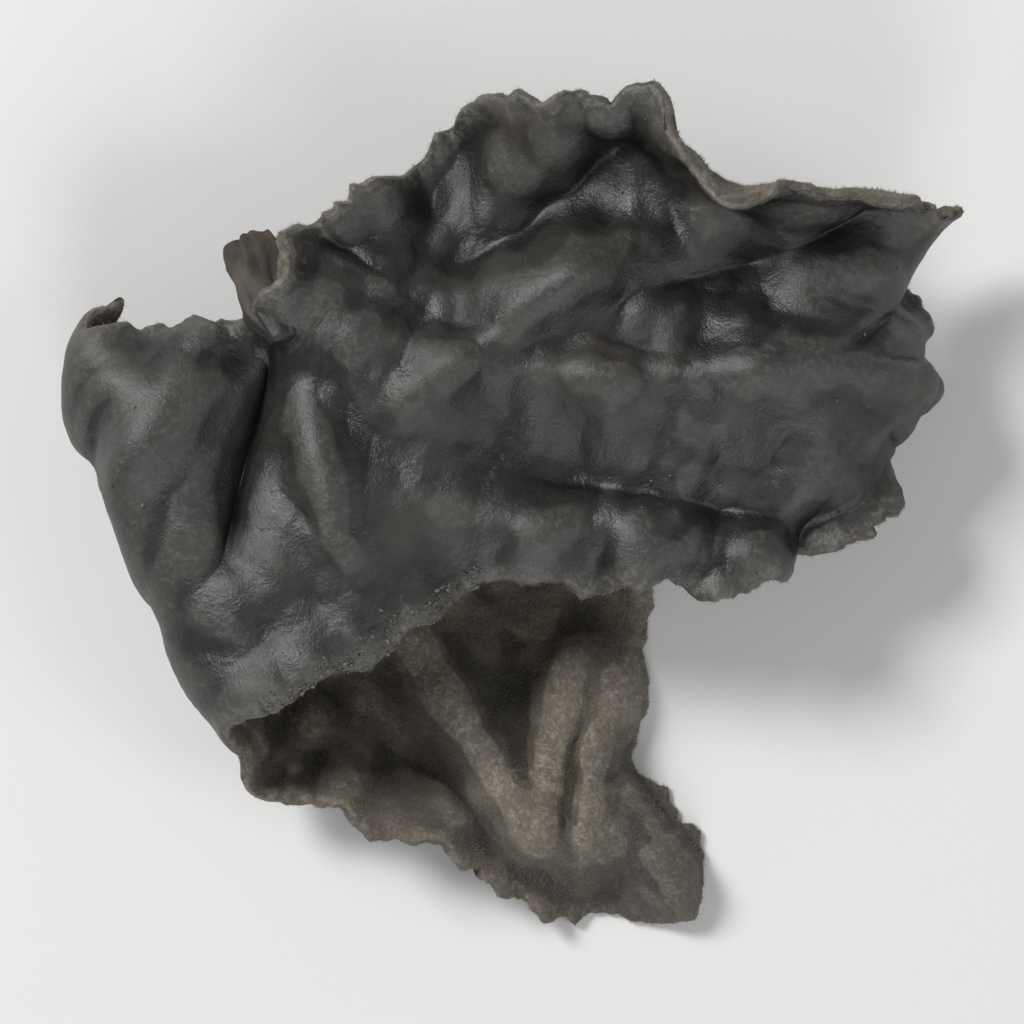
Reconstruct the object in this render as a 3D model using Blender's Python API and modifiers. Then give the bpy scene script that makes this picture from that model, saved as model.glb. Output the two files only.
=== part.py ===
"""A dried wood ear mushroom: one thin ear, folded under along its left side, on a short foot.

The ear is laid out flat first, as the sheet it was before it dried: four margins with a smooth patch between
them. The sheet is pleated and wrinkled, then bent about straight lines. Lengths are in millimetres until the
mesh is made. In the flat sheet +Z is the dark face, and the foot is at the notch in the upper margin.
"""
import math

import bmesh
import bpy
from mathutils import Matrix, Vector, kdtree, noise

MM = 0.001

# ---- driving dimensions, in millimetres ----
CELLS_LONG = 66                 # grid cells from the left end of the ear to the right
CELLS_WIDE = 30                 # grid cells from the lower margin to the upper
FOOT_AT = (-4.6, 9.8)           # where the ear grew out of the wood
WALL = 0.80                     # thickness in the middle of the ear
STIFF_AT = (-2.0, -4.0)          # the stretch of the margin that stayed nearly straight
RIM_SHARE = 0.62                # share of it left at the margin
FOOT_WALL = 1.10                # thickness beside the foot
FOOT_REACH = 4.0                # how far from the foot it thickens
FOOT_RADIUS = 1.9               # foot where it leaves the ear
CUT_RADIUS = 1.3                # foot at its cut end
FOOT_LENGTH = 4.6
FOOT_POINTS = (-0.25, 0.80, -0.55)
LEAN = (-5.4, -0.9)             # how the ear lies, in degrees about X and then about Y
TRAY = -7.7                     # height of the drying tray, on which the lowest parts of the sheet settled
GIVE = 0.15                     # how gently the sheet bends where it meets the tray
PRESSED = 0.30                  # how much of the ear's thickness was pressed flat there

# The four margins of the flat ear. Lower and upper run left to right, left and right run upwards.
LOWER = [(-18.8, -27.4), (-15.6, -24.2), (-13.6, -20.8), (-12.4, -16.4), (-9.8, -11.6), (-7.4, -7.8),
         (-4.0, -6.0), (-0.4, -4.2), (3.8, -1.6), (8.6, -1.4), (13.6, -2.0), (18.4, -0.4), (22.6, 3.2)]
UPPER = [(-29.0, -9.0), (-27.4, -3.6), (-24.0, 1.0), (-20.0, 4.8), (-15.6, 7.6), (-11.2, 8.6), (-7.2, 8.6),
         (-4.6, 9.6), (-2.8, 12.6), (1.4, 15.6), (6.6, 17.6), (12.6, 17.2), (18.6, 14.8)]
LEFT = [(-18.8, -27.4), (-21.4, -25.0), (-21.6, -21.0), (-25.0, -18.4), (-28.4, -14.6), (-29.0, -9.0)]
RIGHT = [(22.6, 3.2), (23.6, 7.4), (22.2, 11.2), (18.6, 14.8)]

# Creases: from, to, height (below zero is a valley), half width.
CREASES = [
    ((-4.6, 8.2), (-7.2, -2.6), -1.7, 0.9),
    ((-4.0, 7.4), (-1.6, -1.6), 1.2, 1.2),
    ((-0.4, 4.8), (9.0, 11.6), 1.9, 1.5),
    ((2.4, 10.6), (10.0, 16.0), -1.6, 1.5),
    ((4.0, 2.6), (19.0, 0.6), -1.3, 1.6),
    ((6.0, 6.4), (22.0, 7.0), 1.6, 1.8),
    ((9.0, 9.6), (20.0, 13.0), -1.5, 1.3),
    ((-8.6, 7.4), (-11.2, -3.0), 0.9, 1.5),
    ((-14.0, -6.0), (-15.6, -21.0), 1.3, 1.5),
    ((-20.8, -9.0), (-17.6, -16.0), -1.7, 1.0),
    ((-17.6, -16.0), (-17.0, -20.6), -1.7, 1.0),
    ((-19.4, -18.4), (-24.4, -16.0), -1.5, 1.0),
    ((-20.6, -20.0), (-19.2, -26.6), -1.2, 1.1),
    ((-15.0, 3.0), (-26.0, -11.0), 1.6, 1.6),
    ((-16.0, 5.0), (-27.0, -5.0), -1.3, 1.2),
]

# Bends, from the margin inwards: direction the bend faces in degrees, distance of its line from the origin,
# radius, angle (above zero turns down, away from the dark face).
BENDS = [
    (-8.0, 14.0, 4.6, 62.0),
    (80.0, 13.4, 3.2, -62.0),
    (202.5, 6.2, 3.1, 174.0),
]


def smooth(low, high, value):
    """0 below low, 1 above high, and an even ramp between them."""
    t = min(1.0, max(0.0, (value - low) / (high - low)))
    return t * t * (3.0 - 2.0 * t)


def on_curve(points, share):
    """The place at a share of a smooth curve through the points."""
    spans = [math.dist(p, q) for p, q in zip(points, points[1:])]
    left = share * sum(spans)
    index = 0
    while index < len(spans) - 1 and left > spans[index]:
        left -= spans[index]
        index += 1
    t = left / spans[index]
    p1, p2 = Vector(points[index]), Vector(points[index + 1])
    p0 = Vector(points[index - 1]) if index else 2 * p1 - p2
    p3 = Vector(points[index + 2]) if index + 2 < len(points) else 2 * p2 - p1
    return 0.5 * (2 * p1 + (p2 - p0) * t + (2 * p0 - 5 * p1 + 4 * p2 - p3) * t**2
                  + (3 * p1 - p0 - 3 * p2 + p3) * t**3)


def margins(steps=150):
    """The outline of the flat ear, closed and anticlockwise: a tree of its points, and which way is out at each."""
    sides = ((LOWER, False), (RIGHT, False), (UPPER, True), (LEFT, True))
    loop = [on_curve(side, 1 - step / steps if turned else step / steps)
            for side, turned in sides for step in range(steps)]
    count = len(loop)
    tree = kdtree.KDTree(count)
    outward = []
    for index, place in enumerate(loop):
        ahead = loop[(index + 9) % count] - loop[index - 9]
        outward.append(Vector((ahead.y, -ahead.x)).normalized())
        tree.insert((place.x, place.y, 0.0), index)
    tree.balance()
    return tree, outward


TREE, OUTWARD = margins()


def flat_point(u, v):
    """The flat ear at u from left to right and v from the lower margin to the upper, each from 0 to 1.

    It returns the place and its distance from the margin. Close to the margin the place is moved in or out, so
    that the margin is worn and not drawn.
    """
    corners = ((1 - u) * (1 - v) * Vector(LOWER[0]) + u * (1 - v) * Vector(LOWER[-1])
               + (1 - u) * v * Vector(UPPER[0]) + u * v * Vector(UPPER[-1]))
    place = ((1 - v) * on_curve(LOWER, u) + v * on_curve(UPPER, u)
             + (1 - u) * on_curve(LEFT, v) + u * on_curve(RIGHT, v) - corners)
    near, index, inside = TREE.find((place.x, place.y, 0.0))
    worn = 1.0 * noise.noise(near * 0.42) + 0.5 * noise.noise(near * 1.1) + 0.22 * noise.noise(near * 2.3)
    corner = min((near.xy - Vector(end)).length for end in (LOWER[0], LOWER[-1], UPPER[0], UPPER[-1]))
    return place + OUTWARD[index] * worn * smooth(0.0, 4.0, corner) * math.exp(-inside / 2.0), inside


def crease_height(x, y):
    """Ridges and valleys that run along straight lines and fade out at both ends."""
    total = 0.0
    for (x0, y0), (x1, y1), height, width in CREASES:
        length = math.hypot(x1 - x0, y1 - y0)
        ex, ey = (x1 - x0) / length, (y1 - y0) / length
        along = ((x - x0) * ex + (y - y0) * ey) / length
        across = (x - x0) * -ey + (y - y0) * ex
        fade = smooth(-0.2, 0.35, along) * (1.0 - smooth(0.75, 1.25, along))
        total += height * fade * math.exp(1.0 - math.sqrt(1.0 + (across / width) ** 2))
    return total


def stiffness(x, y):
    """Below 1 where the ear stayed nearly straight."""
    return 0.4 + 0.6 * smooth(4.0, 11.0, math.hypot(x - STIFF_AT[0], y - STIFF_AT[1]))


def pleat_height(x, y):
    """Sharp valleys between rounded pleats, which radiate from the foot and deepen outwards."""
    dx, dy = x - FOOT_AT[0], y - FOOT_AT[1]
    away = math.hypot(dx, dy)
    turn = math.atan2(dx, -dy) + 0.35 * noise.noise(Vector((x * 0.12, y * 0.12, 5.0)))
    pleats = math.sqrt(math.sin(4.5 * turn + 0.4) ** 2 + 0.02) + 0.6 * math.sqrt(math.sin(8.0 * turn + 1.2) ** 2 + 0.02)
    uneven = 0.75 + 0.9 * noise.noise(Vector((x * 0.14, y * 0.14, 31.0)))
    return uneven * stiffness(x, y) * (pleats - 1.0) * smooth(1.0, 12.0, away)


def frill_height(x, y, inside):
    """Short waves and a lip along the margin, where the ear dried fastest."""
    wave = noise.noise(Vector((x * 0.26, y * 0.26, 11.0))) * 3.4 + noise.noise(Vector((x * 0.6, y * 0.6, 2.0))) * 1.1
    wave *= stiffness(x, y)
    lip = noise.noise(Vector((x * 0.1, y * 0.1, 21.0))) * 4.5
    return wave * math.exp(-inside / 3.0) + lip * max(0.0, 1.0 - inside / 3.2) ** 2


def crumple_height(x, y):
    """Small facets left by drying."""
    return 0.6 * (noise.turbulence(Vector((x * 0.17, y * 0.17, 8.0)), 2, True) - 0.5)


LYING = Matrix.Rotation(math.radians(LEAN[1]), 3, "Y") @ Matrix.Rotation(math.radians(LEAN[0]), 3, "X")


def bent(x, y, z):
    """The point after every bend about a straight line in the sheet, laid down and settled on the tray."""
    for facing, offset, radius, angle in BENDS:
        mx, my = math.cos(math.radians(facing)), math.sin(math.radians(facing))
        past = x * mx + y * my - offset
        if past <= 0.0:
            continue
        down = 1.0 if angle > 0 else -1.0
        full = math.radians(abs(angle))
        turned = min(past / radius, full)
        rest = max(0.0, past - full * radius)
        ring = radius + down * z
        sideways = ring * math.sin(turned) + rest * math.cos(turned)
        z = down * (ring * math.cos(turned) - radius - rest * math.sin(turned))
        x += (sideways - past) * mx
        y += (sideways - past) * my
    place = LYING @ Vector((x, y, z))
    above = (place.z - TRAY) / GIVE
    place.z = TRAY + GIVE * (above if above > 30.0 else math.log1p(math.exp(above)))
    return place


def sheet_height(x, y):
    """How far the middle surface stands above or below the flat sheet, before the bends."""
    inside = TREE.find((x, y, 0.0))[2]
    return crease_height(x, y) + pleat_height(x, y) + frill_height(x, y, inside) + crumple_height(x, y)


def sheet_point(a, b):
    """The ear's middle surface at grid place a, b, each from -1 to 1, with its distance from the margin."""
    (x, y), inside = flat_point((a + 1) / 2, (b + 1) / 2)
    return bent(x, y, sheet_height(x, y)), inside, (x, y)


def thickness_at(inside, x, y):
    """Thin at the margin, and thicker towards the foot."""
    foot = math.exp(-(math.hypot(x - FOOT_AT[0], y - FOOT_AT[1]) / FOOT_REACH) ** 2)
    return WALL * (RIM_SHARE + (1.0 - RIM_SHARE) * smooth(0.0, 2.4, inside)) + (FOOT_WALL - WALL) * foot


def sheet_object():
    """The sheet, given its thickness by a Solidify."""
    mesh = bpy.data.meshes.new("sheet")
    bm = bmesh.new()
    bmesh.ops.create_grid(bm, x_segments=CELLS_LONG, y_segments=CELLS_WIDE, size=1.0)
    shares = []
    for vertex in bm.verts:
        vertex.co, inside, flat = sheet_point(vertex.co.x, vertex.co.y)
        shares.append(thickness_at(inside, *flat) / FOOT_WALL)
    bmesh.ops.recalc_face_normals(bm, faces=bm.faces)
    bm.to_mesh(mesh)
    bm.free()
    sheet = bpy.data.objects.new("sheet", mesh)
    thickness = sheet.vertex_groups.new(name="thickness")
    for index, share in enumerate(shares):
        thickness.add([index], min(1.0, share), "REPLACE")
    solid = sheet.modifiers.new("Thickness", "SOLIDIFY")
    solid.thickness = FOOT_WALL
    solid.offset = 0.0
    solid.vertex_group = "thickness"
    return sheet


def foot_object():
    """The short foot, a worn taper that leaves the brown face at the notch and ends in the cut."""
    mesh = bpy.data.meshes.new("foot")
    bm = bmesh.new()
    bmesh.ops.create_cone(bm, cap_ends=True, segments=14, radius1=FOOT_RADIUS, radius2=CUT_RADIUS, depth=FOOT_LENGTH)
    bmesh.ops.subdivide_edges(bm, edges=[edge for edge in bm.edges if abs(edge.verts[0].co.z - edge.verts[1].co.z) > 1],
                              cuts=4)
    for vertex in bm.verts:
        around = vertex.co.copy()
        around.z = 0.0
        vertex.co += around.normalized() * 0.5 * noise.noise(vertex.co * 0.6 + Vector((3.0, 1.0, 0.0)))
    turn = Vector(FOOT_POINTS).to_track_quat("Z", "Y").to_matrix()
    base = bent(FOOT_AT[0], FOOT_AT[1] - 1.2, sheet_height(FOOT_AT[0], FOOT_AT[1] - 1.2))
    for vertex in bm.verts:
        vertex.co = base + turn @ (vertex.co + Vector((0.0, 0.0, FOOT_LENGTH / 2 - 0.9)))
    bmesh.ops.recalc_face_normals(bm, faces=bm.faces)
    bm.to_mesh(mesh)
    bm.free()
    return bpy.data.objects.new("foot", mesh)


def ear_mesh(helpers):
    """Sheet and foot as one body, laid down and pressed flat where it rests."""
    sheet, foot = sheet_object(), foot_object()
    helpers.objects.link(sheet)
    helpers.objects.link(foot)
    join = sheet.modifiers.new("Foot", "BOOLEAN")
    join.operation = "UNION"
    join.solver = "EXACT"
    join.use_self = True
    join.object = foot
    bpy.context.view_layer.update()
    mesh = bpy.data.meshes.new_from_object(sheet.evaluated_get(bpy.context.evaluated_depsgraph_get()))
    mesh.name = "ear"
    for helper in (sheet, foot):
        bpy.data.objects.remove(helper)
    lowest = min(vertex.co.z for vertex in mesh.vertices)
    for vertex in mesh.vertices:
        vertex.co.z = max(0.0, vertex.co.z - lowest - PRESSED)
    spans = [(min(place), max(place)) for place in zip(*(vertex.co.xy for vertex in mesh.vertices))]
    middle = Vector([(low + high) / 2 for low, high in spans] + [0.0])
    mesh.transform(Matrix.Scale(MM, 4) @ Matrix.Translation(-middle))
    for polygon in mesh.polygons:
        polygon.use_smooth = True
    return mesh


def material():
    """Dried ear: near black, a little sheen."""
    made = bpy.data.materials.new("dried ear")
    made.use_nodes = True
    shader = made.node_tree.nodes["Principled BSDF"]
    shader.inputs["Base Color"].default_value = (0.043, 0.038, 0.033, 1.0)
    shader.inputs["Roughness"].default_value = 0.55
    shader.inputs["Metallic"].default_value = 0.0
    return made


def main():
    for thing in list(bpy.data.objects):
        bpy.data.objects.remove(thing)
    collection = bpy.data.collections.new("wood ear mushroom")
    bpy.context.scene.collection.children.link(collection)
    mesh = ear_mesh(collection)
    mesh.materials.append(material())
    collection.objects.link(bpy.data.objects.new("ear", mesh))


if __name__ == "__main__":
    main()
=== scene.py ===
import math
import random

import bmesh
import bpy
from mathutils import Matrix, Vector, kdtree, noise


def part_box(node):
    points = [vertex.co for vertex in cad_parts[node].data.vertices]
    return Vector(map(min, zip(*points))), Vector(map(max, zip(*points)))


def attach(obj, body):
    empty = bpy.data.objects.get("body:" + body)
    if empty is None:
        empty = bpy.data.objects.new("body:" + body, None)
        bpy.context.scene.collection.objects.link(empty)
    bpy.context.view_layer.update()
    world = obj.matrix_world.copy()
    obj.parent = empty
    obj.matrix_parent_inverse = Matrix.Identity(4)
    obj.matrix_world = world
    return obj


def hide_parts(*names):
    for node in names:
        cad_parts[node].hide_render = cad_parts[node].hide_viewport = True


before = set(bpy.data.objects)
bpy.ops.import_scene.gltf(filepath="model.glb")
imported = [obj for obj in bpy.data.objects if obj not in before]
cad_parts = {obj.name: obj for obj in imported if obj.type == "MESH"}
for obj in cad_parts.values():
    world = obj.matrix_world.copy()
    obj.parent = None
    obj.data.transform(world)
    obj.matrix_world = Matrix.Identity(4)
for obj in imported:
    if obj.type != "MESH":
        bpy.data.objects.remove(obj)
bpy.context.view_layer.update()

# One dried wood ear: a thin sheet that was pleated and folded under as it dried, on the stub of its foot.
# The sheet is laid out flat first, in millimetres, with its dark face up. Finished meshes are in metres.
mm = 0.001
earLow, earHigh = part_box("ear")

sheet = {
    "cellsLong": 330,                       # grid cells from the left end of the ear to the right
    "cellsWide": 132,                       # grid cells from the lower margin to the upper
    "lower": [(-18.8, -27.4), (-15.6, -24.2), (-13.6, -20.8), (-12.4, -16.4), (-9.8, -11.6), (-7.4, -7.8),
              (-4.0, -6.0), (-0.4, -4.2), (3.8, -1.6), (8.6, -1.4), (13.6, -2.0), (18.4, -0.4), (22.6, 3.2)],
    "upper": [(-29.0, -9.0), (-27.4, -3.6), (-24.0, 1.0), (-20.0, 4.8), (-15.6, 7.6), (-11.2, 8.6), (-7.2, 8.6),
              (-4.6, 9.6), (-2.8, 12.6), (1.4, 15.6), (6.6, 17.6), (12.6, 17.2), (18.6, 14.8)],
    "left": [(-18.8, -27.4), (-21.4, -25.0), (-21.6, -21.0), (-25.0, -18.4), (-28.4, -14.6), (-29.0, -9.0)],
    "right": [(22.6, 3.2), (23.6, 7.4), (22.2, 11.2), (18.6, 14.8)],
    "foot": (-4.6, 9.8),                    # where the ear grew out of the wood
    "tip": (-19.9, -25.8),                  # the corner of the folded wall, where the brown face is darker
    "tipReach": (2.5, 5.5),
    "worn": [(0.42, 1.0), (1.1, 0.5), (2.3, 0.22)],     # fineness and depth of the wear along the margin
    "wornReach": 2.0,
    "nick": (5.2, 0.07),
    "nickReach": 0.5,
    "cornerKept": 4.0,                      # how close to a corner the margin is not worn
    "stiff": [                              # where it stayed nearly flat: place, share left, from, to
        ((-2.0, -4.0), 0.25, 5.0, 14.0),
        ((-20.0, -13.0), 0.40, 5.0, 12.0),
    ],
    "creases": [                            # from, to, height (below zero is a valley), half width
        ((-4.6, 8.2), (-6.9, -0.8), -1.7, 0.9),
        ((-4.0, 7.4), (-1.6, -1.6), 1.2, 1.2),
        ((-0.4, 4.8), (9.0, 11.6), 1.9, 1.5),
        ((2.4, 10.6), (10.0, 16.0), -1.6, 1.5),
        ((4.0, 2.6), (19.0, 0.6), -1.3, 1.6),
        ((6.0, 6.4), (22.0, 7.0), 1.6, 1.8),
        ((9.0, 9.6), (20.0, 13.0), -1.5, 1.3),
        ((-8.6, 7.4), (-11.2, -3.0), 0.9, 1.5),
        ((-14.0, -6.0), (-15.6, -21.0), 1.3, 1.5),
        ((-18.9, -9.5), (-17.6, -14.6), -1.5, 0.8),
        ((-17.8, -13.4), (-16.3, -20.3), -1.7, 0.8),
        ((-22.6, -16.2), (-16.5, -20.4), -1.5, 0.8),
        ((-21.6, -18.6), (-17.0, -22.6), -0.9, 0.7),
        ((-20.6, -20.0), (-19.2, -26.6), -1.2, 1.1),
        ((-15.0, 3.0), (-26.0, -11.0), 1.6, 1.6),
        ((-16.0, 5.0), (-27.0, -5.0), -1.3, 1.2),
    ],
    "bends": [                              # direction it faces, distance of its line, radius, angle
        (-8.0, 14.0, 4.6, 62.0),
        (80.0, 13.4, 3.2, -62.0),
        (202.5, 6.2, 3.1, 174.0),
    ],
    "lean": (-5.4, -0.9),                   # how it lies, in degrees about X and then about Y
    "tray": -7.7,                           # height of the tray that it dried on
    "give": 0.15,                           # how gently it bends where it meets the tray
    "pressed": 0.30,                        # how much of its thickness was pressed flat there
    "evenings": 12,                         # rounds that even out the flat grid
    "sharp": 0.25,                          # how crisp the creases are: 0 is a knife edge
    "facets": [                             # direction, span, height and seed of the flat-sided folds all over
        (25.0, 9.2, 0.50, 50.0),
        (82.0, 6.7, 0.38, 53.0),
        (-38.0, 5.2, 0.26, 57.0),
        (128.0, 3.7, 0.15, 61.0),
        (5.0, 2.6, 0.10, 67.0),
        (62.0, 1.9, 0.065, 71.0),
        (-20.0, 1.3, 0.040, 77.0),
    ],
    "bentFacets": 2.2,                      # how far those folds stray from straight
    "pleats": [(4.5, 0.4, 1.0), (8.0, 1.2, 0.6)],       # fineness, shift and share of the radial pleats
    "pleatsFrom": (1.0, 12.0),              # where they start and where they are full, from the foot
    "frills": [(0.26, 2.9, 11.0), (0.6, 0.6, 2.0)],     # fineness, height and seed of the margin's waves
    "frillReach": 3.0,
    "lip": (0.1, 4.5, 21.0),                # the same for how the outermost part curls
    "lipReach": 3.2,
    "ruffles": [(7.3, 0.9, 3.0), (4.1, 0.55, 6.0), (2.3, 0.25, 9.0)],   # span, height and seed
    "pucker": 0.08,                         # height of the short gathers across the margin
    "puckerReach": 1.1,
    "mapSpan": 60.0,                        # millimetres across the UV map
}


def smooth(low, high, value):
    t = min(1.0, max(0.0, (value - low) / (high - low)))
    return t * t * (3.0 - 2.0 * t)


def cloudAt(x, y, fineness, seed):
    return noise.noise(Vector((x * fineness, y * fineness, seed)))


def onCurve(points, share):
    # the place at a share of the smooth curve through the points
    spans = [math.dist(p, q) for p, q in zip(points, points[1:])]
    left = share * sum(spans)
    index = 0
    while index < len(spans) - 1 and left > spans[index]:
        left -= spans[index]
        index += 1
    t = left / spans[index]
    p1, p2 = Vector(points[index]), Vector(points[index + 1])
    p0 = Vector(points[index - 1]) if index else 2 * p1 - p2
    p3 = Vector(points[index + 2]) if index + 2 < len(points) else 2 * p2 - p1
    return 0.5 * (2 * p1 + (p2 - p0) * t + (2 * p0 - 5 * p1 + 4 * p2 - p3) * t**2
                  + (3 * p1 - p0 - 3 * p2 + p3) * t**3)


def marginLoop(steps=600, reach=36):
    # the outline of the flat ear, closed and anticlockwise, which way is out at each of its points, and how
    # far round it they are
    sides = (("lower", False), ("right", False), ("upper", True), ("left", True))
    loop = [onCurve(sheet[side], 1 - step / steps if turned else step / steps)
            for side, turned in sides for step in range(steps)]
    tree = kdtree.KDTree(len(loop))
    outward, roundAbout = [], []
    for index, place in enumerate(loop):
        ahead = loop[(index + reach) % len(loop)] - loop[index - reach]
        outward.append(Vector((ahead.y, -ahead.x)).normalized())
        roundAbout.append(roundAbout[-1] + (place - loop[index - 1]).length if index else 0.0)
        tree.insert((place.x, place.y, 0.0), index)
    tree.balance()
    return tree, outward, roundAbout


marginTree, marginOutward, marginRound = marginLoop()
sheetCorners = [Vector(sheet[side][end]) for side in ("lower", "upper") for end in (0, -1)]


def stiffness(x, y):
    amount = 1.0
    for (stiffX, stiffY), share, start, end in sheet["stiff"]:
        amount *= share + (1.0 - share) * smooth(start, end, math.hypot(x - stiffX, y - stiffY))
    return amount


def wornPlace(place):
    # close to the margin a place is moved in or out, so that the margin is worn and not drawn
    near, index, inside = marginTree.find((place.x, place.y, 0.0))
    worn = sum(depth * noise.noise(near * fineness) for fineness, depth in sheet["worn"])
    worn *= math.sqrt(stiffness(near.x, near.y))
    fineness, depth = sheet["nick"]
    nick = depth * noise.noise(near * fineness) * math.exp(-inside / sheet["nickReach"])
    corner = min((near.xy - end).length for end in sheetCorners)
    shift = (worn + nick) * smooth(0.0, sheet["cornerKept"], corner) * math.exp(-inside / sheet["wornReach"])
    return place + marginOutward[index] * shift, near, index, inside


def creaseHeight(x, y):
    total = 0.0
    for (x0, y0), (x1, y1), height, width in sheet["creases"]:
        length = math.hypot(x1 - x0, y1 - y0)
        ex, ey = (x1 - x0) / length, (y1 - y0) / length
        along = ((x - x0) * ex + (y - y0) * ey) / length
        across = (x - x0) * -ey + (y - y0) * ex
        fade = smooth(-0.2, 0.35, along) * (1.0 - smooth(0.75, 1.25, along))
        sharp = sheet["sharp"]
        total += height * fade * math.exp(sharp - math.sqrt(sharp * sharp + (across / width) ** 2))
    return total


def zigzag(value):
    # a wave of flat slopes with slightly rounded turns, from -1 to 1
    return math.asin(0.985 * math.sin(value)) / 1.4


def fromFoot(x, y, sway, fineness, seed):
    # how far from the foot a place is, and in which direction, which sways a little
    dx, dy = x - sheet["foot"][0], y - sheet["foot"][1]
    return math.hypot(dx, dy), math.atan2(dx, -dy) + sway * cloudAt(x, y, fineness, seed)


def pleatHeight(x, y):
    # pleats that radiate from the foot and deepen outwards
    away, turn = fromFoot(x, y, 0.35, 0.12, 5.0)
    pleats = sum(share * math.sqrt(zigzag(number * turn + shift) ** 2 + 0.01)
                 for number, shift, share in sheet["pleats"])
    uneven = 0.75 + 0.9 * cloudAt(x, y, 0.14, 31.0)
    return uneven * stiffness(x, y) * (pleats - 0.85) * smooth(*sheet["pleatsFrom"], away)


def frillHeight(x, y, index, inside):
    # the margin curls up or down in long waves, and is ruffled by creases that run across it
    wave = sum(cloudAt(x, y, fineness, seed) * height for fineness, height, seed in sheet["frills"])
    along = marginRound[index]
    for span, height, seed in sheet["ruffles"]:
        amount = smooth(-0.15, 0.35, noise.noise(Vector((along * 0.09, seed, 0.0))))
        shifted = along + 1.5 * noise.noise(Vector((along * 0.16, seed, 4.0)))
        wave += height * amount * zigzag(2.0 * math.pi * shifted / span)
    fineness, height, seed = sheet["lip"]
    lip = cloudAt(x, y, fineness, seed) * height * max(0.0, 1.0 - inside / sheet["lipReach"]) ** 2
    return wave * stiffness(x, y) * math.exp(-inside / sheet["frillReach"]) + lip


def facetHeight(x, y):
    # flat-sided folds in several directions, each fading in and out over the sheet
    bentX = x + sheet["bentFacets"] * cloudAt(x, y, 0.07, 40.0)
    bentY = y + sheet["bentFacets"] * cloudAt(x, y, 0.07, 44.0)
    total = 0.0
    for facing, span, height, seed in sheet["facets"]:
        along = bentX * math.cos(math.radians(facing)) + bentY * math.sin(math.radians(facing))
        amount = smooth(0.25, 0.65, 0.5 + cloudAt(x, y, 0.08, seed))
        total += height * amount * zigzag(2.0 * math.pi * along / span)
    return total * (0.35 + 0.65 * stiffness(x, y))


lying = (Matrix.Rotation(math.radians(sheet["lean"][1]), 3, "Y")
         @ Matrix.Rotation(math.radians(sheet["lean"][0]), 3, "X"))


def folded(x, y, z):
    # the point after every bend about a straight line in the sheet, laid down and settled on the tray
    for facing, offset, radius, angle in sheet["bends"]:
        mx, my = math.cos(math.radians(facing)), math.sin(math.radians(facing))
        past = x * mx + y * my - offset
        if past <= 0.0:
            continue
        down = 1.0 if angle > 0 else -1.0
        full = math.radians(abs(angle))
        turned = min(past / radius, full)
        rest = max(0.0, past - full * radius)
        ring = radius + down * z
        sideways = ring * math.sin(turned) + rest * math.cos(turned)
        z = down * (ring * math.cos(turned) - radius - rest * math.sin(turned))
        x += (sideways - past) * mx
        y += (sideways - past) * my
    place = lying @ Vector((x, y, z))
    above = (place.z - sheet["tray"]) / sheet["give"]
    place.z = sheet["tray"] + sheet["give"] * (above if above > 30.0 else math.log1p(math.exp(above)))
    return place


def heightAt(x, y, near, index, inside):
    gathers = noise.noise(near * 1.5) + 0.6 * noise.noise(near * 3.1)
    return (creaseHeight(x, y) + pleatHeight(x, y) + frillHeight(x, y, index, inside) + facetHeight(x, y)
            + sheet["pucker"] * gathers * math.exp(-inside / sheet["puckerReach"]))


wall = {
    "middle": 0.80,                         # thickness, in millimetres
    "rimShare": 0.62,                       # how much of it is left at the rim
    "rimReach": 2.4,
    "foot": 1.10,
    "footReach": 4.0,
    "leather": 0.095,                       # crumpled skin of the dark face
    "vein": 0.170,                          # branching veins of the brown face
    "felt": 0.080,                          # unevenness of the brown face
    "wrinkle": 0.070,                       # and its wrinkles
    "lipCuts": 3,
    "tightest": 0.38,                       # a ridge or valley sharper than this is eased
    "easings": 4,
    "averaged": (1, 2),                     # cells over which the normals are averaged, in turn
    "proud": [(3, 2.2), (8, 0.9)],          # cells over which it is told how proud a place is, and weight
}


def halfThickness(x, y, inside):
    foot = math.exp(-(math.hypot(x - sheet["foot"][0], y - sheet["foot"][1]) / wall["footReach"]) ** 2)
    rim = wall["rimShare"] + (1.0 - wall["rimShare"]) * smooth(0.0, wall["rimReach"], inside)
    return 0.5 * (wall["middle"] * rim + (wall["foot"] - wall["middle"]) * foot)


def veinsAt(x, y):
    # thin lines that radiate from the foot and branch, 1 on a vein and 0 between
    away, turn = fromFoot(x, y, 0.05, 0.5, 14.0)
    main = abs(noise.noise(Vector((turn * 3.4, away * 0.05, 3.0))))
    side = abs(noise.noise(Vector((turn * 8.0, away * 0.09, 9.0))))
    thin = max(0.0, 1.0 - main * 9.0) ** 1.5 + 0.6 * max(0.0, 1.0 - side * 7.0) ** 1.5 * smooth(5.0, 12.0, away)
    return min(1.0, thin * smooth(1.5, 5.0, away))


def leatherAt(x, y):
    # fine skin wrinkles that run outwards from the foot, from about -1 to 1
    away, turn = fromFoot(x, y, 0.10, 0.4, 15.0)
    streaks = noise.ridged_multi_fractal(Vector((turn * 9.0, away * 0.30, 6.0)), 1.0, 2.1, 3, 1.0, 2.0)
    creased = noise.ridged_multi_fractal(Vector((x * 0.95, y * 0.95, 12.0)), 1.0, 2.2, 3, 1.0, 2.0)
    return 0.30 * streaks + 0.40 * creased - 0.8 + 0.20 * cloudAt(x, y, 2.6, 25.0)


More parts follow.
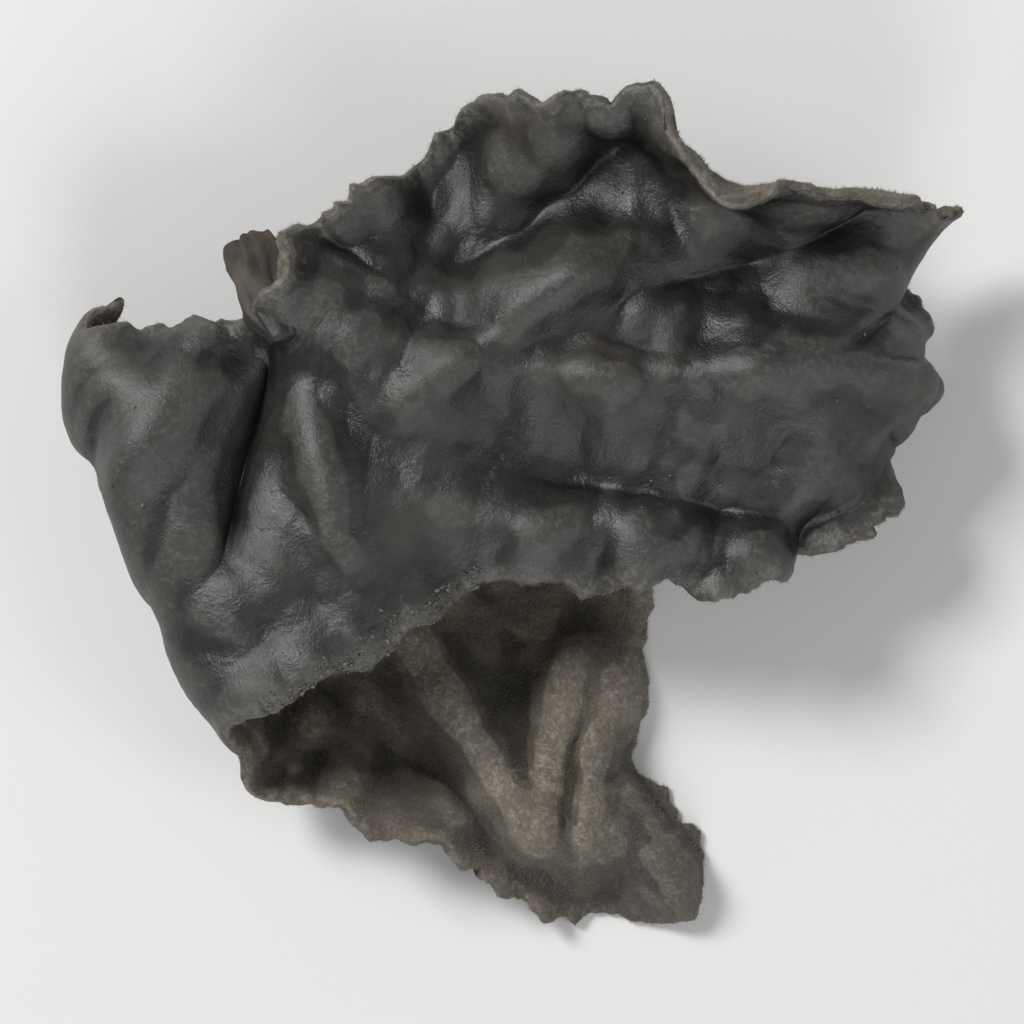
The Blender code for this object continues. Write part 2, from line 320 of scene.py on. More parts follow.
def layOut():
    # every grid place of the middle surface: where it is, its normal and what is known of it
    long, wide = sheet["cellsLong"], sheet["cellsWide"]
    lower = [onCurve(sheet["lower"], i / long) for i in range(long + 1)]
    upper = [onCurve(sheet["upper"], i / long) for i in range(long + 1)]
    left = [onCurve(sheet["left"], j / wide) for j in range(wide + 1)]
    right = [onCurve(sheet["right"], j / wide) for j in range(wide + 1)]
    middle = bmesh.new()
    bmesh.ops.create_grid(middle, x_segments=long, y_segments=wide, size=1.0)
    spots = {}
    for vertex in middle.verts:
        u, v = (vertex.co.x + 1) / 2, (vertex.co.y + 1) / 2
        i, j = round(u * long), round(v * wide)
        corners = ((1 - u) * (1 - v) * lower[0] + u * (1 - v) * lower[-1]
                   + (1 - u) * v * upper[0] + u * v * upper[-1])
        flat = (1 - v) * lower[i] + v * upper[i] + (1 - u) * left[j] + u * right[j] - corners
        flat, near, index, inside = wornPlace(flat)
        vertex.co = (flat.x, flat.y, 0.0)
        spots[i, j] = {"vertex": vertex, "near": near, "index": index, "inside": inside}
    within = [vertex for vertex in middle.verts if not vertex.is_boundary]
    for _ in range(sheet["evenings"]):
        bmesh.ops.smooth_vert(middle, verts=within, factor=0.5, use_axis_x=True, use_axis_y=True)
    for spot in spots.values():
        vertex = spot["vertex"]
        spot["flat"] = vertex.co.xy.copy()
        height = heightAt(*spot["flat"], spot["near"], spot["index"], spot["inside"])
        vertex.co = folded(*spot["flat"], height)
    middle.normal_update()
    for spot in spots.values():
        vertex = spot.pop("vertex")
        spot["at"], spot["out"] = vertex.co.copy(), vertex.normal.copy()
    middle.free()
    # normals averaged over a few cells, so that the two faces don't cross in a tight valley
    for reach in wall["averaged"]:
        averaged = {}
        for (i, j), spot in spots.items():
            total = 2 * spot["out"]
            for di, dj in ((reach, 0), (-reach, 0), (0, reach), (0, -reach)):
                total = total + spots[min(long, max(0, i + di)), min(wide, max(0, j + dj))]["out"]
            averaged[i, j] = total.normalized()
        for key, normal in averaged.items():
            spots[key]["out"] = normal

    def around(i, j, reach):
        # how far a place stands proud of those around it, on the dark face
        total = Vector()
        for di, dj in ((reach, 0), (-reach, 0), (0, reach), (0, -reach)):
            total += spots[min(long, max(0, i + di)), min(wide, max(0, j + dj))]["at"]
        return (spots[i, j]["at"] - total / 4).dot(spots[i, j]["out"])

    for (i, j), spot in spots.items():
        spot["ridge"] = sum(weight * around(i, j, reach) for reach, weight in wall["proud"])
        inner = spots[min(long - 1, max(1, i)), min(wide - 1, max(1, j))]
        edgeways = spot["at"] - inner["at"]
        edgeways -= edgeways.dot(spot["out"]) * spot["out"]
        spot["edgeways"] = edgeways.normalized() if edgeways.length > 0 else edgeways
    return spots


def buildEar(spots):
    long, wide = sheet["cellsLong"], sheet["cellsWide"]
    plate = 0.01
    shell = bmesh.new()
    bmesh.ops.create_grid(shell, x_segments=long, y_segments=wide, size=1.0)
    bmesh.ops.solidify(shell, geom=shell.faces[:], thickness=plate)
    heights = [vertex.co.z for vertex in shell.verts]
    low, high = min(heights), max(heights)
    lip = [edge for edge in shell.edges if abs(edge.verts[0].co.z - edge.verts[1].co.z) > plate / 2]
    bmesh.ops.subdivide_edges(shell, edges=lip, cuts=wall["lipCuts"], use_grid_fill=True)
    sideLayer = shell.verts.layers.float.new("side")
    ridgeLayer = shell.verts.layers.float.new("ridge")
    marginLayer = shell.verts.layers.float.new("margin")
    veinLayer = shell.verts.layers.float.new("vein")
    tipLayer = shell.verts.layers.float.new("tip")
    flatLayer = shell.loops.layers.uv.new("flat")
    flats = {}
    for vertex in shell.verts:
        side = 2 * (vertex.co.z - low) / (high - low) - 1
        i, j = round((vertex.co.x + 1) / 2 * long), round((vertex.co.y + 1) / 2 * wide)
        spot = spots[i, j]
        x, y = spot["flat"]
        half = halfThickness(x, y, spot["inside"])
        vein = veinsAt(x, y)
        if side > 0:
            proud = wall["leather"] * leatherAt(x, y)
        else:
            proud = wall["vein"] * (vein - 0.3) + wall["felt"] * cloudAt(x, y, 2.1, 17.0)
            proud += wall["wrinkle"] * leatherAt(x + 40.0, y)
        proud *= smooth(0.0, 0.8, spot["inside"])
        bulge = math.sqrt(max(0.0, 1.0 - side * side))
        vertex.co = (spot["at"] + spot["out"] * (side * half + math.copysign(proud, side) * abs(side))
                     + spot["edgeways"] * (half * 0.8 * bulge))
        vertex[sideLayer] = side
        vertex[ridgeLayer] = spot["ridge"] * (1.0 if side > 0 else -1.0)
        vertex[marginLayer] = spot["inside"]
        vertex[veinLayer] = vein
        vertex[tipLayer] = 1.0 - smooth(*sheet["tipReach"], (spot["flat"] - Vector(sheet["tip"])).length)
        flats[vertex] = spot["flat"]
    tight = [vertex for vertex in shell.verts if abs(vertex[ridgeLayer]) > wall["tightest"]]
    for _ in range(wall["easings"]):
        bmesh.ops.smooth_vert(shell, verts=tight, factor=0.5, use_axis_x=True, use_axis_y=True, use_axis_z=True)
    for face in shell.faces:
        face.smooth = True
        faceSide = sum(vertex[sideLayer] for vertex in face.verts)
        face.material_index = 0 if faceSide > 0.5 * len(face.verts) else 1
        for loop in face.loops:
            loop[flatLayer].uv = flats[loop.vert] / sheet["mapSpan"] + Vector((0.5, 0.5))
    bmesh.ops.recalc_face_normals(shell, faces=shell.faces[:])
    return shell


foot = {
    "radius": 1.9,                          # where it leaves the ear, in millimetres
    "cutRadius": 1.3,
    "length": 4.6,
    "sunk": 1.3,                            # how much of it is inside the ear
    "points": (-0.25, 0.80, -0.55),
    "lowered": 0.45,                        # how far under the top of the sheet its axis starts
    "below": 0.9,                           # how far in from the margin it stands
    "rings": 20,
    "flute": 0.36,                          # depth of the grooves along it
    "lump": 0.5,
    "waist": 0.35,
    "narrowed": 0.30,                       # share of its width where it leaves the ear
    "fullFrom": 0.42,
    "flat": 0.50,                           # its height over its width where it leaves the ear
    "cutInsets": (0.10, 0.35, 0.35),        # rings on its cut end, each a little deeper
    "cutDepth": 0.04,
    "cutRough": 0.16,
}


def buildFoot():
    stub = bmesh.new()
    length = foot["length"]
    bmesh.ops.create_cone(stub, cap_ends=True, segments=56, radius1=foot["radius"], radius2=foot["cutRadius"],
                          depth=length)
    sides = [edge for edge in stub.edges if abs(edge.verts[0].co.z - edge.verts[1].co.z) > length / 2]
    bmesh.ops.subdivide_edges(stub, edges=sides, cuts=foot["rings"], use_grid_fill=True)
    alongLayer = stub.verts.layers.float.new("along")
    cutEnd = [face for face in stub.faces if len(face.verts) > 4 and face.calc_center_median().z > 0]
    for inward in foot["cutInsets"]:
        bmesh.ops.inset_region(stub, faces=cutEnd, thickness=inward, depth=-foot["cutDepth"])
    for vertex in stub.verts:
        around = Vector((vertex.co.x, vertex.co.y, 0.0))
        turn = math.atan2(around.y, around.x)
        share = vertex.co.z / length + 0.5
        flute = noise.noise(Vector((math.cos(turn) * 2.6, math.sin(turn) * 2.6, vertex.co.z * 0.22)))
        flute += 0.5 * noise.noise(Vector((math.cos(turn) * 6.0, math.sin(turn) * 6.0, vertex.co.z * 0.5)))
        lump = foot["lump"] * noise.noise(vertex.co * 0.6 + Vector((3.0, 1.0, 0.0)))
        waist = foot["waist"] * math.sin(math.pi * min(1.0, share * 1.1)) ** 2
        vertex.co += around.normalized() * (lump + foot["flute"] * flute - waist)
        vertex.co.z += foot["cutRough"] * noise.noise(vertex.co * 1.7) * smooth(0.7, 1.0, share)
        narrowed = foot["narrowed"] + (1.0 - foot["narrowed"]) * smooth(0.0, foot["fullFrom"], share)
        vertex.co.x *= narrowed * (0.90 - 0.02 * share)
        vertex.co.y *= narrowed * (foot["flat"] + (0.85 - foot["flat"]) * share)
        vertex[alongLayer] = share
    turned = Vector(foot["points"]).to_track_quat("Z", "Y").to_matrix()
    x, y = sheet["foot"][0], sheet["foot"][1] - foot["below"]
    near, index, inside = marginTree.find((x, y, 0.0))
    base = folded(x, y, heightAt(x, y, near, index, inside))
    base.z -= foot["lowered"]
    for vertex in stub.verts:
        vertex.co = base + turned @ (vertex.co + Vector((0.0, 0.0, length / 2 - foot["sunk"])))
    bmesh.ops.recalc_face_normals(stub, faces=stub.faces[:])
    for face in stub.faces:
        face.smooth = True
    return stub


def intoFrame(meshes):
    # from the millimetres of the folded sheet to the frame's metres, pressed flat at 0 and fitted to the box
    # of the CAD's ear
    lowest = min(vertex.co.z for vertex in meshes[0].verts)
    for mesh in meshes:
        for vertex in mesh.verts:
            vertex.co.z = max(0.0, vertex.co.z - lowest - sheet["pressed"])
    for axis in (0, 1, 2):
        values = [vertex.co[axis] for mesh in meshes for vertex in mesh.verts]
        low, high = min(values), max(values)
        share = (earHigh[axis] - earLow[axis]) / (high - low)
        for mesh in meshes:
            for vertex in mesh.verts:
                vertex.co[axis] = earLow[axis] + (vertex.co[axis] - low) * share


def finished(name, mesh, materials):
    data = bpy.data.meshes.new(name)
    mesh.to_mesh(data)
    mesh.free()
    piece = bpy.data.objects.new(name, data)
    bpy.context.scene.collection.objects.link(piece)
    for material in materials:
        data.materials.append(material)
    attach(piece, "root")
    return piece


def newGroup(name, inputs, outputs):
    group = bpy.data.node_groups.new(name, "ShaderNodeTree")
    for label, kind, value in inputs:
        group.interface.new_socket(label, in_out="INPUT", socket_type=kind).default_value = value
    for label, kind in outputs:
        group.interface.new_socket(label, in_out="OUTPUT", socket_type=kind)
    return group, group.nodes.new("NodeGroupInput"), group.nodes.new("NodeGroupOutput")


def addNode(tree, kind, settings=(), values=()):
    node = tree.nodes.new(kind)
    for key, value in dict(settings).items():
        setattr(node, key, value)
    for label, value in dict(values).items():
        node.inputs[label].default_value = value
    return node


def addGroup(tree, group, links, values):
    node = addNode(tree, "ShaderNodeGroup", {"node_tree": group}, values)
    for label, source in links.items():
        tree.links.new(source, node.inputs[label])
    return node


def attribute(tree, name):
    return addNode(tree, "ShaderNodeAttribute", {"attribute_name": name}).outputs["Fac"]


def joined(tree, sockets, sources):
    # each source is an output to link or a constant
    for socket, source in zip(sockets, sources):
        if isinstance(source, bpy.types.NodeSocket):
            tree.links.new(source, socket)
        else:
            socket.default_value = source


def mixColour(tree, factor, first, second, blend="MIX"):
    node = addNode(tree, "ShaderNodeMix", {"data_type": "RGBA", "blend_type": blend})
    joined(tree, (node.inputs[0], node.inputs[6], node.inputs[7]), (factor, first, second))
    return node.outputs[2]


def ramp(tree, source, low, high, outLow=0.0, outHigh=1.0):
    node = addNode(tree, "ShaderNodeMapRange", {"interpolation_type": "SMOOTHSTEP"},
                   {"From Min": low, "From Max": high, "To Min": outLow, "To Max": outHigh})
    tree.links.new(source, node.inputs["Value"])
    return node.outputs["Result"]


def maths(tree, operation, first, second):
    node = addNode(tree, "ShaderNodeMath", {"operation": operation})
    joined(tree, node.inputs, (first, second))
    return node.outputs[0]


def buildMottle():
    # soft patches and fine speckle, both from 0 to 1
    group, start, end = newGroup("mottle", [
        ("Vector", "NodeSocketVector", (0.0, 0.0, 0.0)), ("Patch Scale", "NodeSocketFloat", 200.0),
        ("Speckle Scale", "NodeSocketFloat", 3000.0)],
        [("Patches", "NodeSocketFloat"), ("Speckle", "NodeSocketFloat")])
    outputs = (("Patch Scale", "Patches", 0.35, 0.68), ("Speckle Scale", "Speckle", 0.42, 0.70))
    for label, output, low, high in outputs:
        cloud = addNode(group, "ShaderNodeTexNoise", (), {"Detail": 5.0, "Roughness": 0.62, "Distortion": 0.4})
        group.links.new(start.outputs["Vector"], cloud.inputs["Vector"])
        group.links.new(start.outputs[label], cloud.inputs["Scale"])
        group.links.new(ramp(group, cloud.outputs["Fac"], low, high), end.inputs[output])
    return group


creaseShadeAndPaleLevels = {
    "sunk": (-0.28, -0.04),                 # the ridge values at which the painted shade in a crease is darkest and where it starts
    # how far the creases are darkened towards the crease colour, which is painted shade
    "creaseShadeAmount": 0.9,
    "proud": (0.13, 0.36),                  # and those at which a ridge starts and is palest
    "proudLeast": 0.45,                     # how much of the pale tone the speckle leaves
    "rimLeast": 0.35,
}


def buildCreaseShadeAndPale():
    # painted shade that darkens the creases, and paler along ridges and at the margin
    colour = "NodeSocketColor"
    group, start, end = newGroup("creaseShadeAndPaleTone", [
        ("Body", colour, (0.05, 0.05, 0.05, 1.0)), ("Crease Shade", colour, (0.01, 0.01, 0.01, 1.0)),
        ("Ridge", colour, (0.1, 0.1, 0.1, 1.0)), ("Rim", colour, (0.1, 0.1, 0.1, 1.0)),
        ("Speckle", "NodeSocketFloat", 0.5), ("Rim Width", "NodeSocketFloat", 0.6)],
        [("Color", colour), ("Paleness", "NodeSocketFloat")])
    ridge = attribute(group, "ridge")
    # painted shade: the mask is strongest in the deepest creases
    sunk = ramp(group, ridge, *creaseShadeAndPaleLevels["sunk"], creaseShadeAndPaleLevels["creaseShadeAmount"], 0.0)
    proud = ramp(group, ridge, *creaseShadeAndPaleLevels["proud"])
    speckle = ramp(group, start.outputs["Speckle"], 0.0, 1.0, creaseShadeAndPaleLevels["proudLeast"], 1.0)
    proud = maths(group, "MULTIPLY", proud, speckle)
    near = maths(group, "DIVIDE", attribute(group, "margin"), start.outputs["Rim Width"])
    rim = ramp(group, near, 0.0, 1.0, 1.0, 0.0)
    speckle = ramp(group, start.outputs["Speckle"], 0.0, 1.0, creaseShadeAndPaleLevels["rimLeast"], 1.0)
    rim = maths(group, "MULTIPLY", rim, speckle)
    # the crease colour laid in here is painted shade
    tone = mixColour(group, sunk, start.outputs["Body"], start.outputs["Crease Shade"])
    tone = mixColour(group, proud, tone, start.outputs["Ridge"])
    tone = mixColour(group, rim, tone, start.outputs["Rim"])
    group.links.new(tone, end.inputs["Color"])
    group.links.new(maths(group, "MAXIMUM", proud, rim), end.inputs["Paleness"])
    return group


def buildSkin():
    # height of fine skin, from 0 to 1: wrinkles that meet in a network, and grain
    group, start, end = newGroup("skin", [
        ("Vector", "NodeSocketVector", (0.0, 0.0, 0.0)), ("Wrinkle Scale", "NodeSocketFloat", 900.0),
        ("Grain Scale", "NodeSocketFloat", 4000.0), ("Grain Share", "NodeSocketFloat", 0.4)],
        [("Height", "NodeSocketFloat")])
    bend = addNode(group, "ShaderNodeTexNoise", (), {"Detail": 3.0})
    group.links.new(start.outputs["Vector"], bend.inputs["Vector"])
    group.links.new(maths(group, "MULTIPLY", start.outputs["Wrinkle Scale"], 0.6), bend.inputs["Scale"])
    wrinkles = addNode(group, "ShaderNodeTexNoise", {"noise_type": "RIDGED_MULTIFRACTAL"},
                       {"Detail": 4.0, "Roughness": 0.6, "Distortion": 0.5})
    group.links.new(start.outputs["Vector"], wrinkles.inputs["Vector"])
    group.links.new(start.outputs["Wrinkle Scale"], wrinkles.inputs["Scale"])
    grain = addNode(group, "ShaderNodeTexNoise", (), {"Detail": 4.0, "Roughness": 0.7})
    group.links.new(start.outputs["Vector"], grain.inputs["Vector"])
    group.links.new(start.outputs["Grain Scale"], grain.inputs["Scale"])
    coarse = maths(group, "MULTIPLY", ramp(group, wrinkles.outputs["Fac"], 0.1, 1.6), bend.outputs["Fac"])
    share = maths(group, "MULTIPLY", grain.outputs["Fac"], start.outputs["Grain Share"])
    group.links.new(maths(group, "ADD", coarse, share), end.inputs["Height"])
    return group


def newMaterial(name):
    material = bpy.data.materials.new(name)
    material.use_nodes = True
    return material, material.node_tree, material.node_tree.nodes["Principled BSDF"]


def mottled(tree, group, values):
    # the soft patches and fine speckle at these scales
    coordinates = addNode(tree, "ShaderNodeTexCoord").outputs["Object"]
    node = addGroup(tree, group, {"Vector": coordinates}, values)
    return node.outputs["Patches"], node.outputs["Speckle"]


def bumped(tree, shader, group, values, distance):
    # fine skin of this height, in metres
    coordinates = addNode(tree, "ShaderNodeTexCoord").outputs["Object"]
    height = addGroup(tree, group, {"Vector": coordinates}, values).outputs["Height"]
    bump = addNode(tree, "ShaderNodeBump", (), {"Distance": distance, "Strength": 1.0})
    tree.links.new(height, bump.inputs["Height"])
    tree.links.new(bump.outputs["Normal"], shader.inputs["Normal"])


smoothFace = {
    "mottle": {"Patch Scale": 210.0, "Speckle Scale": 3200.0},
    "dust": {"Patch Scale": 420.0, "Speckle Scale": 9000.0},
    "skin": {"Wrinkle Scale": 820.0, "Grain Scale": 5200.0, "Grain Share": 0.35},
    "body": (0.0135, 0.0135, 0.013, 1.0),
    "browner": (0.028, 0.024, 0.019, 1.0),
    # painted shade laid into the creases of the dark face
    "creaseShade": (0.005, 0.005, 0.0045, 1.0),
    "ridge": (0.062, 0.058, 0.051, 1.0),
    "rim": (0.105, 0.098, 0.085, 1.0),
    "bloom": (0.150, 0.150, 0.145, 1.0),
    "bloomAmount": 0.05,
    "rimWidth": 0.95,                       # in millimetres
    "roughness": (0.31, 0.52),
    "bump": 0.000130,
}


def paintSmoothFace(mottle, creaseShadeAndPale, skin):
    material, tree, shader = newMaterial("smoothFace")
    patches, speckle = mottled(tree, mottle, smoothFace["mottle"])
    body = mixColour(tree, patches, smoothFace["body"], smoothFace["browner"])
    # painted shade in the creases, and paler ridges and margin
    tone = addGroup(tree, creaseShadeAndPale, {"Body": body, "Speckle": speckle}, {
        "Crease Shade": smoothFace["creaseShade"], "Ridge": smoothFace["ridge"], "Rim": smoothFace["rim"],
        "Rim Width": smoothFace["rimWidth"]})
    dust, dustSpeckle = mottled(tree, mottle, smoothFace["dust"])
    bloom = maths(tree, "MULTIPLY", maths(tree, "MULTIPLY", dust, dustSpeckle), smoothFace["bloomAmount"])
    dusted = mixColour(tree, bloom, tone.outputs["Color"], smoothFace["bloom"])
    tree.links.new(dusted, shader.inputs["Base Color"])
    dull = maths(tree, "MAXIMUM", patches, tone.outputs["Paleness"])
    tree.links.new(ramp(tree, dull, 0.0, 1.0, *smoothFace["roughness"]), shader.inputs["Roughness"])
    bumped(tree, shader, skin, smoothFace["skin"], smoothFace["bump"])
    return material


downyFace = {
    "mottle": {"Patch Scale": 170.0, "Speckle Scale": 2600.0},
    "felt": {"Patch Scale": 900.0, "Speckle Scale": 7000.0},
    "skin": {"Wrinkle Scale": 1300.0, "Grain Scale": 7000.0, "Grain Share": 0.9},
    "body": (0.094, 0.078, 0.055, 1.0),
    "darker": (0.054, 0.045, 0.033, 1.0),
    # painted shade laid into the creases of the brown face
    "creaseShade": (0.028, 0.023, 0.018, 1.0),
    "ridge": (0.235, 0.205, 0.160, 1.0),
    "rim": (0.170, 0.145, 0.110, 1.0),
    "vein": (0.190, 0.164, 0.126, 1.0),
    "veinAmount": 0.6,
    "tip": (0.046, 0.042, 0.034, 1.0),
    "tipAmounts": (0.8, 0.45),              # of its body, and of all its tones together
    "rimWidth": 0.9,                        # in millimetres
    "feltLight": (0.78, 1.22),              # how dark and how light the felt's speckle makes it
    "sheen": (0.12, 0.5),                   # weight and roughness
    "roughness": (0.74, 0.92),
    "bump": 0.000080,
}


def paintDownyFace(mottle, creaseShadeAndPale, skin):
    material, tree, shader = newMaterial("downyFace")
    patches, speckle = mottled(tree, mottle, downyFace["mottle"])
    body = mixColour(tree, patches, downyFace["darker"], downyFace["body"])
    veinShare = maths(tree, "MULTIPLY", attribute(tree, "vein"), downyFace["veinAmount"])
    body = mixColour(tree, veinShare, body, downyFace["vein"])
    tip = attribute(tree, "tip")
    inBody, overall = downyFace["tipAmounts"]
    body = mixColour(tree, maths(tree, "MULTIPLY", tip, inBody), body, downyFace["tip"])
    # painted shade in the creases, and paler ridges and margin
    tone = addGroup(tree, creaseShadeAndPale, {"Body": body, "Speckle": speckle}, {
        "Crease Shade": downyFace["creaseShade"], "Ridge": downyFace["ridge"], "Rim": downyFace["rim"],
        "Rim Width": downyFace["rimWidth"]})
    shaded = mixColour(tree, maths(tree, "MULTIPLY", tip, overall), tone.outputs["Color"], downyFace["tip"])
    feltSpeckle = mottled(tree, mottle, downyFace["felt"])[1]
    light = ramp(tree, feltSpeckle, 0.0, 1.0, *downyFace["feltLight"])
    shade = addNode(tree, "ShaderNodeCombineColor")
    joined(tree, shade.inputs, (light, light, light))
    lit = mixColour(tree, 1.0, shaded, shade.outputs["Color"], "MULTIPLY")
    tree.links.new(lit, shader.inputs["Base Color"])
    tree.links.new(ramp(tree, patches, 0.0, 1.0, *downyFace["roughness"]), shader.inputs["Roughness"])
    weight, roughness = downyFace["sheen"]
    shader.inputs["Sheen Weight"].default_value = weight
    shader.inputs["Sheen Roughness"].default_value = roughness
    bumped(tree, shader, skin, downyFace["skin"], downyFace["bump"])
    return material


footTissue = {
    "mottle": {"Patch Scale": 600.0, "Speckle Scale": 3000.0},
    "wrinkles": {"Wrinkle Scale": 1600.0, "Grain Scale": 5000.0, "Grain Share": 0.8},
    "body": (0.085, 0.068, 0.048, 1.0),
    "darker": (0.030, 0.025, 0.019, 1.0),
    "skin": (0.017, 0.016, 0.015, 1.0),
    "bare": (0.15, 0.75),                   # where along it the dark skin ends
    "roughness": (0.5, 0.85),
    "bump": 0.000060,
}


def paintFoot(mottle, skin):
    material, tree, shader = newMaterial("footTissue")
    patches = mottled(tree, mottle, footTissue["mottle"])[0]
    along = attribute(tree, "along")
    body = mixColour(tree, patches, footTissue["darker"], footTissue["body"])
    body = mixColour(tree, ramp(tree, along, *footTissue["bare"]), footTissue["skin"], body)
    tree.links.new(body, shader.inputs["Base Color"])
    dull = ramp(tree, along, *footTissue["bare"], *footTissue["roughness"])
    tree.links.new(dull, shader.inputs["Roughness"])
    bumped(tree, shader, skin, footTissue["wrinkles"], footTissue["bump"])
    return material


brokenGrain = {
    "mottle": {"Patch Scale": 3500.0, "Speckle Scale": 12000.0},
    "tones": ((0.035, 0.032, 0.026, 1.0), (0.135, 0.125, 0.105, 1.0)),
    "roughness": 0.8,
}

downHair = {
    "mottle": {"Patch Scale": 900.0, "Speckle Scale": 7000.0},
    "tones": ((0.145, 0.120, 0.088, 1.0), (0.235, 0.200, 0.152, 1.0)),
    "roughnessRange": (0.82, 0.96),         # follows the speckle
}


def paintMottled(name, look, mottle):
    # two tones in soft patches
    material, tree, shader = newMaterial(name)
    patches, speckle = mottled(tree, mottle, look["mottle"])
    tree.links.new(mixColour(tree, patches, *look["tones"]), shader.inputs["Base Color"])
    if "roughnessRange" in look:
        dull = ramp(tree, speckle, 0.0, 1.0, *look["roughnessRange"])
        tree.links.new(dull, shader.inputs["Roughness"])
    else:
        shader.inputs["Roughness"].default_value = look["roughness"]
    return material


down = {
    "doublings": 15,                        # 2 to this power is how many hairs a piece has
    "length": (0.08, 0.24),                 # in millimetres
    "width": 0.013,
    "lean": 0.7,
    "shown": 0.35,                          # how far out its middle stands, as a share of its length
    "parting": 1.0,                         # how far left of the middle the two pieces of down meet
    "seed": 11,
}


def standsOn(ear, keep, count, grower, face):
    # random places on the faces that keep() picks, spread by area, and the way out at each
    faces = [polygon for polygon in ear.polygons if polygon.material_index == face and keep(polygon)]
    stands = []
    for polygon in grower.choices(faces, weights=[polygon.area for polygon in faces], k=count):
        corners = [ear.vertices[corner].co for corner in polygon.vertices]
        a, b = grower.random(), grower.random()
        root = (corners[0] * (1 - a) + corners[1] * a) * (1 - b) + (corners[-1] * (1 - a) + corners[2] * a) * b
        stands.append((root, polygon.normal.copy()))
    return stands


def repeated(mesh, doublings):
    # doubles the shape again and again, and numbers each copy
    number = mesh.verts.layers.int.new("number")
    for doubling in range(doublings):
        copies = bmesh.ops.duplicate(mesh, geom=mesh.verts[:] + mesh.edges[:] + mesh.faces[:])["geom"]
        for copied in copies:
            if isinstance(copied, bmesh.types.BMVert):
                copied[number] += 2 ** doubling
    return number


def randomVector(grower):
    return Vector([grower.uniform(-1, 1) for _ in range(3)])


def buildDown(ear, keep, seed):
    # short hairs on the brown face
    grower = random.Random(seed)
    hairs = bmesh.new()
    bmesh.ops.create_cone(hairs, cap_ends=True, segments=3, radius1=down["width"] * mm, radius2=0.0, depth=1.0)
    places = []
    for root, out in standsOn(ear, keep, 2 ** down["doublings"], grower, 1):
        turned = (out + randomVector(grower) * down["lean"]).to_track_quat("Z", "Y").to_matrix()
        places.append((root, turned, grower.uniform(*down["length"]) * mm))
    number = repeated(hairs, down["doublings"])
    for vertex in hairs.verts:
        root, turned, length = places[vertex[number]]
        x, y, z = vertex.co
        vertex.co = root + turned @ Vector((x, y, (z + down["shown"]) * length))
        vertex.co.z = max(0.0, vertex.co.z)
    return hairs


crumbs = {
    "onRim": 8,                             # 2 to this power is how many lie along the near rim
    "elsewhere": 6,
    "size": (0.03, 0.13),                   # in millimetres
    "rimFrom": (-9.6, -7.9),                # the stretch of the near rim that they lie on, in millimetres
    "rimTo": (-1.0, -2.6),
    "rimBand": 0.7,                         # how far from that line
    "rimUp": 0.5,                           # how far up a face there has to look
    "topUp": 0.6,                           # and one elsewhere
    "flat": (0.45, 0.8),
    "seed": 5,
}


def nearRim(polygon):
    start, end = Vector(crumbs["rimFrom"]) * mm, Vector(crumbs["rimTo"]) * mm
    place, way = polygon.center.xy - start, end - start
    along = place.dot(way) / way.length_squared
    close = (place - way * along).length < crumbs["rimBand"] * mm
    return polygon.normal.z > crumbs["rimUp"] and 0.0 < along < 1.0 and close


def onTop(polygon):
    return polygon.normal.z > crumbs["topUp"]


def buildCrumbs(ear, keep, doublings, seed):
    # small broken grains that stuck to the dark face
    grower = random.Random(seed)
    grains = bmesh.new()
    bmesh.ops.create_icosphere(grains, subdivisions=1, radius=1.0)
    places = []
    for root, out in standsOn(ear, keep, 2 ** doublings, grower, 0):
        turned = (out + randomVector(grower)).to_track_quat("Z", "Y").to_matrix()
        size = grower.uniform(*crumbs["size"]) * grower.uniform(0.5, 1.0) * mm
        flat, offset = grower.uniform(*crumbs["flat"]), grower.uniform(0, 90)
        places.append((root + out * size * 0.5, turned, size, flat, offset))
    number = repeated(grains, doublings)
    for vertex in grains.verts:
        root, turned, size, flat, offset = places[vertex[number]]
        shape = vertex.co * (1.0 + 0.5 * noise.noise(vertex.co * 1.3 + Vector((offset, 0.0, 0.0))))
        vertex.co = root + turned @ Vector((shape.x, shape.y * 0.8, shape.z * flat)) * size
    return grains


print("ear: laying out the sheet")
spots = layOut()
print("ear: building the shell")
earMesh = buildEar(spots)
footMesh = buildFoot()
intoFrame([earMesh, footMesh])
print("materials")
mottle, creaseShadeAndPale, skin = buildMottle(), buildCreaseShadeAndPale(), buildSkin()
ear = finished("driedEar", earMesh, [paintSmoothFace(mottle, creaseShadeAndPale, skin), paintDownyFace(mottle, creaseShadeAndPale, skin)])
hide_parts("ear")
finished("footStub", footMesh, [paintFoot(mottle, skin)])
print("down")
downMaterial = paintMottled("downHair", downHair, mottle)
parting = (earLow.x + earHigh.x) / 2 - down["parting"] * mm
leftHairs = buildDown(ear.data, lambda face: face.center.x < parting, down["seed"])
finished("downLeft", leftHairs, [downMaterial])
rightHairs = buildDown(ear.data, lambda face: face.center.x >= parting, down["seed"] + 1)
finished("downRight", rightHairs, [downMaterial])

print("crumbs")
crumbMaterial = paintMottled("brokenGrain", brokenGrain, mottle)
rimGrains = buildCrumbs(ear.data, nearRim, crumbs["onRim"], crumbs["seed"])
finished("rimCrumbs", rimGrains, [crumbMaterial])
looseGrains = buildCrumbs(ear.data, onTop, crumbs["elsewhere"], crumbs["seed"] + 1)
finished("looseCrumbs", looseGrains, [crumbMaterial])


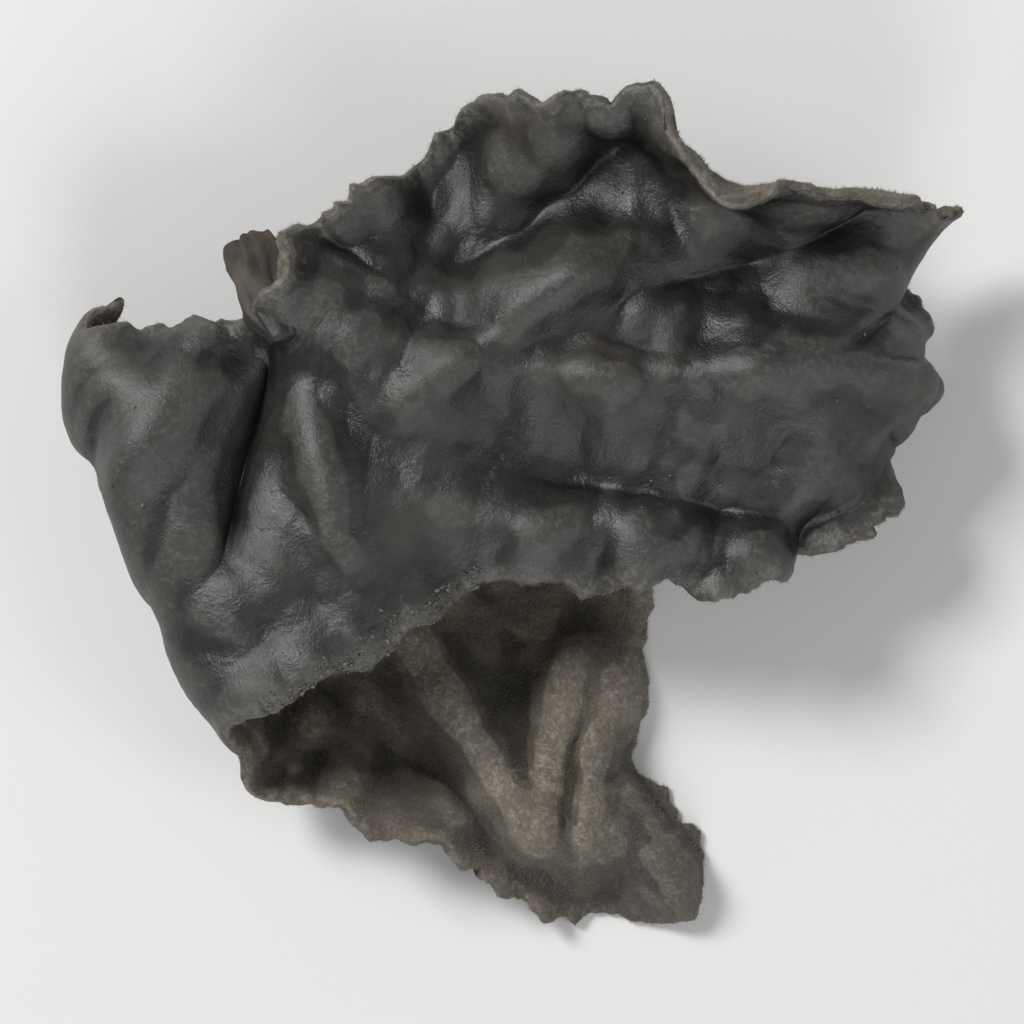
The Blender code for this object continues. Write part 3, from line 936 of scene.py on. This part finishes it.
stage = {
    "floor": (0.66, 0.66, 0.645, 1.0),
    "floorReach": 1.5,                      # in metres
    "floorRoughness": 0.7,
    "world": (0.93, 0.95, 1.0, 1.0),
    "worldStrength": 0.27,
    "lens": 180.0,
    "nearest": 0.005,                       # closest that the camera sees, in metres
    "margin": 1.10,                         # how much wider than the ear the view is
    "lights": [                             # from, size, watts
        ((-0.28, 0.22, 0.33), 0.14, 2.3),
        ((0.32, -0.10, 0.26), 0.18, 0.40),
        ((0.02, -0.40, 0.24), 0.22, 0.8),
    ],
}


def setStage():
    floor = bmesh.new()
    bmesh.ops.create_grid(floor, x_segments=1, y_segments=1, size=stage["floorReach"])
    data = bpy.data.meshes.new("floor")
    floor.to_mesh(data)
    floor.free()
    plane = bpy.data.objects.new("floor", data)
    bpy.context.scene.collection.objects.link(plane)
    material, tree, shader = newMaterial("paleFloor")
    shader.inputs["Base Color"].default_value = stage["floor"]
    shader.inputs["Roughness"].default_value = stage["floorRoughness"]
    data.materials.append(material)
    world = bpy.data.worlds.new("softSky")
    bpy.context.scene.world = world
    world.use_nodes = True
    sky = world.node_tree.nodes["Background"]
    sky.inputs["Color"].default_value = stage["world"]
    sky.inputs["Strength"].default_value = stage["worldStrength"]
    middle = (earLow + earHigh) / 2
    for number, (place, size, watts) in enumerate(stage["lights"]):
        lamp = bpy.data.lights.new(f"softLight{number}", "AREA")
        lamp.size = size
        lamp.energy = watts
        light = bpy.data.objects.new(f"softLight{number}", lamp)
        light.location = place
        light.rotation_euler = (middle - Vector(place)).to_track_quat("-Z", "Y").to_euler()
        bpy.context.scene.collection.objects.link(light)
    camera = bpy.data.cameras.new("camera")
    camera.lens = stage["lens"]
    camera.clip_start = stage["nearest"]
    width = max(earHigh.x - earLow.x, earHigh.y - earLow.y) * stage["margin"]
    distance = width * camera.lens / camera.sensor_width
    eye = bpy.data.objects.new("camera", camera)
    eye.location = (middle.x, middle.y, earHigh.z + distance)
    bpy.context.scene.collection.objects.link(eye)
    bpy.context.scene.camera = eye
    bpy.context.scene.view_settings.view_transform = "Standard"


print("stage")
setStage()
